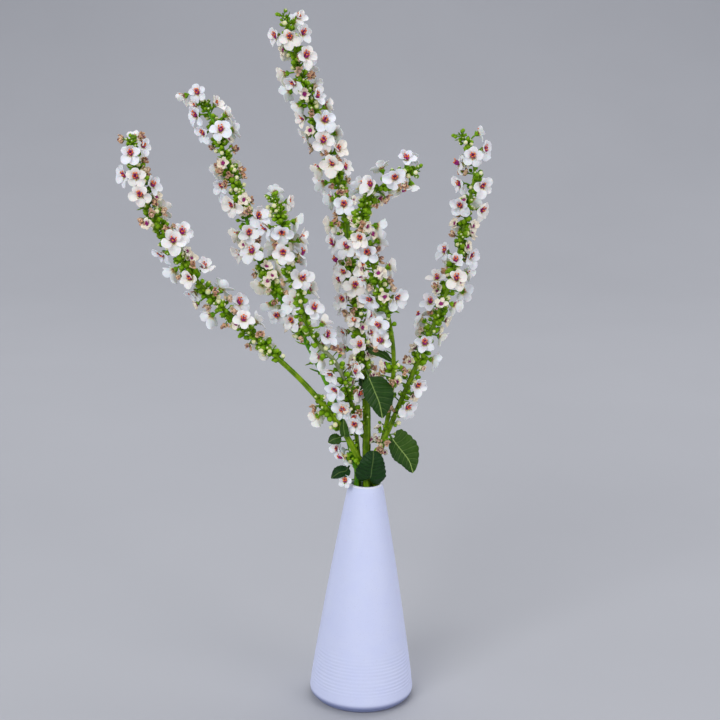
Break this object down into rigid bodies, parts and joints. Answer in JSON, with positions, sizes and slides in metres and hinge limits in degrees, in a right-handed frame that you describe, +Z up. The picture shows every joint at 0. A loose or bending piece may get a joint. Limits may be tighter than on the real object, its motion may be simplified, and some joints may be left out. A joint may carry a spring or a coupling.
{
  "type": "mullein stems in a vase",
  "caption": "Cut bunch of white mullein flower spikes with purple woolly stamens, standing in a narrow-necked white ceramic bottle vase.",
  "frame": {"origin": "centre of the vase's foot, on the surface it stands on", "axes": "+Z up along the vase's axis, +X to the right and +Y away from the viewer as the bunch is seen from its front"},
  "size_m": [0.3102, 0.1426, 0.6032],
  "materials": {
    "vase": "satin",
    "water": "gloss",
    "flowering_stem": "matte",
    "leaf": "satin"
  },
  "bodies": {
    "root": {"vase": "vase", "water": "water", "stem_far_left": "flowering_stem", "stem_left": "flowering_stem", "stem_short_left": "flowering_stem", "stem_tall": "flowering_stem", "stem_curled": "flowering_stem", "stem_right": "flowering_stem", "leaf_front": "leaf", "leaf_right": "leaf", "leaf_mouth": "leaf", "leaf_fold": "leaf", "leaf_round": "leaf", "leaf_lip": "leaf", "leaf_dark": "leaf", "leaf_narrow": "leaf"}
  },
  "joints": []
}
